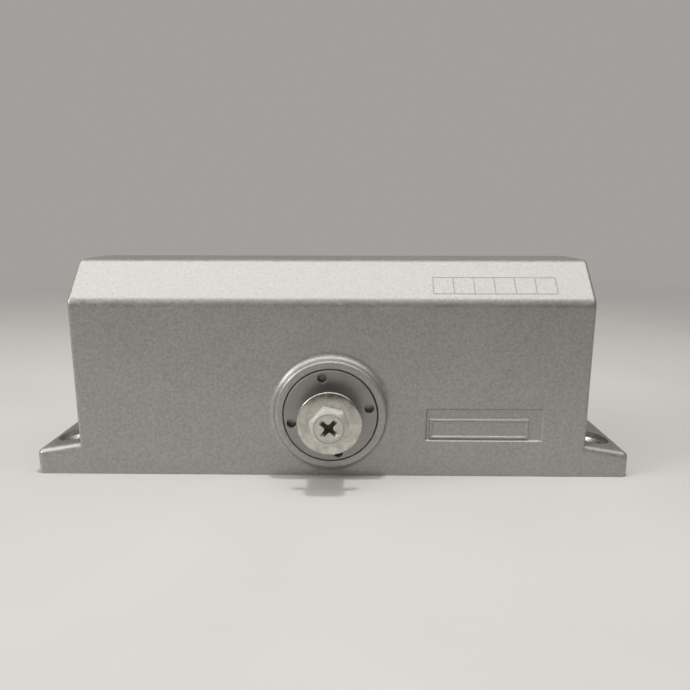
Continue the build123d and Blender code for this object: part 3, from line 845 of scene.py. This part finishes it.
floorSpec = {
    "half": 3.0,
    "back": 1.7,
    "rise": 2.0,
    "sweep": 0.8,
    "sweepSegments": 24,
    "drop": 0.02 * mm,
    "shade": (0.484, 0.465, 0.444, 1),
    "bright": (0.54, 0.518, 0.495, 1),
    "specular": 0.3,
    "roughness": 0.5,
    "roughSwing": 0.1,
    "cloud": 60 * mm,
    "fadeFrom": 0.2,
    "fadeTo": 0.75,
    "distance": (0.36, 0.352, 0.34, 1),
}


# Pale table top that fades, as the camera sees it, into the room's plain tone
def paleTable():
    look = floorSpec
    material, shader, place = startMaterial("paleTable", {"Specular IOR Level": look["specular"]})
    cloud = noise(place, look["cloud"], detail=2, rough=0.5)
    feed(
        shader,
        Base_Color=blendColour(cloud, look["shade"], look["bright"]),
        Roughness=look["roughness"] + swing(cloud, look["roughSwing"]),
    )
    reach = place.add("ShaderNodeVectorMath", {"operation": "LENGTH"}, {0: place}, "Value")
    seen = place.add("ShaderNodeLightPath", {}, {}, "Is Camera Ray")
    fade = ease(reach, look["fadeFrom"], look["fadeTo"]) * seen
    table = Wire(material.node_tree, shader.outputs[0])
    distance = place.add("ShaderNodeEmission", {}, {"Color": look["distance"]})
    shown = place.add("ShaderNodeMixShader", {}, {0: fade, 1: table, 2: distance})
    feed(material.node_tree.nodes["Material Output"], Surface=shown)
    return material


# The table sweeps up behind the object
def paleFloor():
    spec = floorSpec
    bm = bmesh.new()
    path = [(-spec["half"], 0), (spec["back"], 0), (spec["back"], spec["rise"])]
    line = [bm.verts.new((-spec["half"], y, z - spec["drop"])) for y, z in path]
    for first, second in zip(line, line[1:]):
        bm.edges.new((first, second))
    bmesh.ops.bevel(
        bm,
        geom=[line[1]],
        offset=spec["sweep"],
        affect="VERTICES",
        segments=spec["sweepSegments"],
        profile=0.5,
        material=-1,
    )
    wide = bmesh.ops.extrude_edge_only(bm, edges=bm.edges[:])
    moved = [part for part in wide["geom"] if isinstance(part, bmesh.types.BMVert)]
    bmesh.ops.translate(bm, vec=(2 * spec["half"], 0, 0), verts=moved)
    bmesh.ops.recalc_face_normals(bm, faces=bm.faces[:])
    smoothFaces(bm)
    floor = meshObject("paleTable", bm, paleTable())


paleFloor()

lampSpec = {
    "overhead": {
        "place": Vector((-0.05, -0.1, 0.55)),
        "aim": Vector((-0.05, -0.07, 0.0)),
        "size": (1.2, 0.22),
        "power": 1.95,
        "mirrored": True,
    },
    "ceiling": {
        "place": Vector((0.04, -0.04, 0.6)),
        "aim": Vector((0.0, -0.03, 0.0)),
        "size": (0.045, 0.045),
        "power": 1.7,
        "mirrored": False,
    },
    "leftSide": {
        "place": Vector((-0.8, -0.3, 0.42)),
        "aim": Vector((0.0, 0.0, 0.03)),
        "size": (0.25, 0.25),
        "power": 2.8,
        "mirrored": True,
    },
}


# A wide softbox and a small ceiling lamp overhead, and a lamp on the left
def studioLamps():
    for name, spec in lampSpec.items():
        data = bpy.data.lights.new(name, "AREA")
        data.shape = "RECTANGLE"
        data.size, data.size_y = spec["size"]
        data.energy = spec["power"]
        lamp = bpy.data.objects.new(name, data)
        turn = (spec["aim"] - spec["place"]).to_track_quat("-Z", "Y")
        lamp.matrix_world = Matrix.Translation(spec["place"]) @ turn.to_matrix().to_4x4()
        lamp.visible_camera = False
        lamp.visible_glossy = spec["mirrored"]
        bpy.context.scene.collection.objects.link(lamp)


studioLamps()

roomSpec = {
    "leftHorizon": (0.045, 0.042, 0.037, 1),
    "rightHorizon": (0.008, 0.006, 0.004, 1),
    "leftZenith": (0.72, 0.717, 0.71, 1),
    "rightZenith": (0.46, 0.458, 0.453, 1),
    "sideRange": (-0.8, 0.8),
    "heightRange": (0.0, 0.9),
}


# A room that dims to the right; the camera sees the plain tone that the table fades into
def softRoom():
    spec = roomSpec
    world = bpy.data.worlds.new("softRoom")
    bpy.context.scene.world = world
    world.use_nodes = True
    tree = world.node_tree
    way = Wire(tree).add("ShaderNodeTexCoord", {}, {}, "Generated")
    side = ease(way.add("ShaderNodeSeparateXYZ", {}, {0: way}, "X"), *spec["sideRange"])
    height = ease(way.add("ShaderNodeSeparateXYZ", {}, {0: way}, "Z"), *spec["heightRange"])
    horizon = blendColour(side, spec["leftHorizon"], spec["rightHorizon"])
    zenith = blendColour(side, spec["leftZenith"], spec["rightZenith"])
    sky = blendColour(height, horizon, zenith)
    seen = way.add("ShaderNodeLightPath", {}, {}, "Is Camera Ray")
    feed(tree.nodes["Background"], Color=blendColour(seen, sky, floorSpec["distance"]))


softRoom()

cameraSpec = {
    "place": Vector((6.939, -196.837, 77.837)) * mm,
    "lens": 31.785,
    "sensor": 36,
    "nearest": 10 * mm,
    "pitch": radians(11.807),
    "yaw": radians(-0.855),
    "roll": radians(0.029),
}


def photoCamera():
    spec = cameraSpec
    yaw, pitch, roll = spec["yaw"], spec["pitch"], spec["roll"]
    ahead = Vector((sin(yaw) * cos(pitch), cos(yaw) * cos(pitch), -sin(pitch)))
    level = Vector((cos(yaw), -sin(yaw), 0))
    upright = level.cross(ahead)
    right = level * cos(roll) + upright * sin(roll)
    up = upright * cos(roll) - level * sin(roll)
    data = bpy.data.cameras.new("photoCamera")
    data.lens = spec["lens"]
    data.sensor_width = spec["sensor"]
    data.sensor_fit = "HORIZONTAL"
    data.clip_start = spec["nearest"]
    camera = bpy.data.objects.new("photoCamera", data)
    turn = Matrix((right, up, -ahead)).transposed().to_4x4()
    camera.matrix_world = Matrix.Translation(spec["place"]) @ turn
    bpy.context.scene.collection.objects.link(camera)
    bpy.context.scene.camera = camera


photoCamera()
bpy.context.scene.view_settings.view_transform = "Standard"
print("floor, light and camera set")
